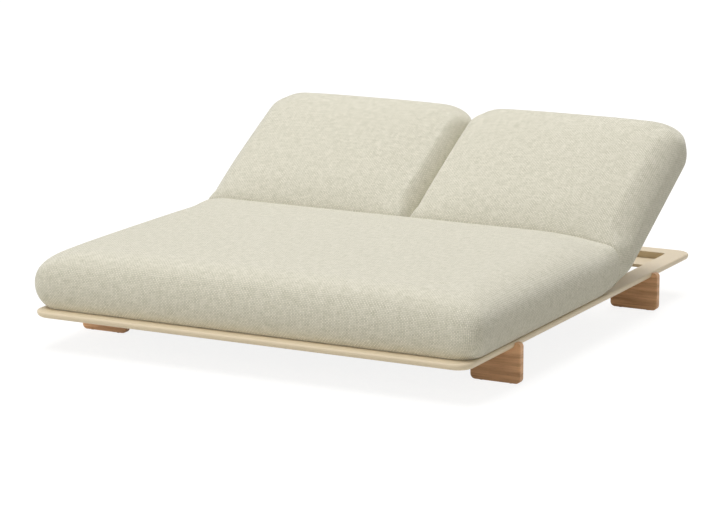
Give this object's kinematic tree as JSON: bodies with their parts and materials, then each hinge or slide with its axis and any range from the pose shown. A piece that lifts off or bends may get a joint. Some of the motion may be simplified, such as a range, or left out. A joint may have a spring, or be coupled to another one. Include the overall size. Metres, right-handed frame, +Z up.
{
  "type": "double chaise lounger",
  "caption": "Low double sun lounger: flat rounded metal frame on notched board legs, one wide seat cushion and two separately reclining padded backrests with props.",
  "frame": {"origin": "on the floor, under the middle of the frame's length and width", "axes": "+Z up, -Y towards the foot end that a sitter's feet point to, +Y towards the head end, +X to the right seen from the foot end"},
  "size_m": [1.766, 2, 0.6811],
  "materials": {
    "cream_metal": "matt powder coat, warm cream",
    "cushion_fabric": "matt woven outdoor fabric, light sage and ivory",
    "leg_wood": "oiled hardwood, grain level along the board",
    "steel_hardware": "plain stainless",
    "nylon": "matt"
  },
  "bodies": {
    "frame": {"centre_beam": "cream_metal", "front_rail": "cream_metal", "hinge_block": "cream_metal", "hinge_crossbar": "cream_metal", "hinge_lug_left": "cream_metal", "hinge_lug_right": "cream_metal", "hinge_pin_centre": "steel_hardware", "hinge_pin_left": "steel_hardware", "hinge_pin_right": "steel_hardware", "left_rail": "cream_metal", "leg_brackets": "cream_metal", "leg_front_left": "leg_wood", "leg_front_right": "leg_wood", "leg_glides": "nylon", "leg_rear_left": "leg_wood", "leg_rear_right": "leg_wood", "leg_screws": "steel_hardware", "rack_left_inner": "cream_metal", "rack_left_outer": "cream_metal", "rack_right_inner": "cream_metal", "rack_right_outer": "cream_metal", "rear_rail": "cream_metal", "rest_bar_front": "cream_metal", "rest_bar_rear": "cream_metal", "right_rail": "cream_metal", "seat_cushion": "cushion_fabric", "seat_slat_1": "cream_metal", "seat_slat_2": "cream_metal", "seat_slat_3": "cream_metal", "seat_slat_4": "cream_metal", "seat_slat_5": "cream_metal", "seat_slat_6": "cream_metal", "seat_slat_7": "cream_metal", "slat_ledge_left": "cream_metal", "slat_ledge_right": "cream_metal"},
    "back_right": {"back_cushion_right": "cushion_fabric", "back_head_rail_right": "cream_metal", "back_hinge_tube_right": "cream_metal", "back_slat_1_right": "cream_metal", "back_slat_2_right": "cream_metal", "back_slat_3_right": "cream_metal", "back_slat_4_right": "cream_metal", "back_stile_inner_right": "cream_metal", "back_stile_outer_right": "cream_metal", "hinge_bushes_right": "nylon", "prop_pins_right": "steel_hardware"},
    "back_left": {"back_cushion_left": "cushion_fabric", "back_head_rail_left": "cream_metal", "back_hinge_tube_left": "cream_metal", "back_slat_1_left": "cream_metal", "back_slat_2_left": "cream_metal", "back_slat_3_left": "cream_metal", "back_slat_4_left": "cream_metal", "back_stile_inner_left": "cream_metal", "back_stile_outer_left": "cream_metal", "hinge_bushes_left": "nylon", "prop_pins_left": "steel_hardware"},
    "prop_right": {"prop_stay_right": "cream_metal"},
    "prop_left": {"prop_stay_left": "cream_metal"}
  },
  "joints": [
    {"name": "back_right_hinge", "type": "hinge", "parent": "frame", "child": "back_right", "pos_m": [0.393, 0.23, 0.134], "axis": [1, 0, 0], "range_deg": [-30, 15]},
    {"name": "prop_right_pivot", "type": "hinge", "parent": "back_right", "child": "prop_right", "pos_m": [0.393, 0.46417, 0.2692], "axis": [1, 0, 0], "range_deg": [-30, 60]},
    {"name": "back_left_hinge", "type": "hinge", "parent": "frame", "child": "back_left", "pos_m": [-0.393, 0.23, 0.134], "axis": [1, 0, 0], "range_deg": [-30, 15]},
    {"name": "prop_left_pivot", "type": "hinge", "parent": "back_left", "child": "prop_left", "pos_m": [-0.393, 0.46417, 0.2692], "axis": [1, 0, 0], "range_deg": [-30, 60]}
  ],
  "couplings": [
    {"joint": "prop_right_pivot", "follows": "back_right_hinge", "ratio": -2},
    {"joint": "prop_left_pivot", "follows": "back_left_hinge", "ratio": -2}
  ]
}
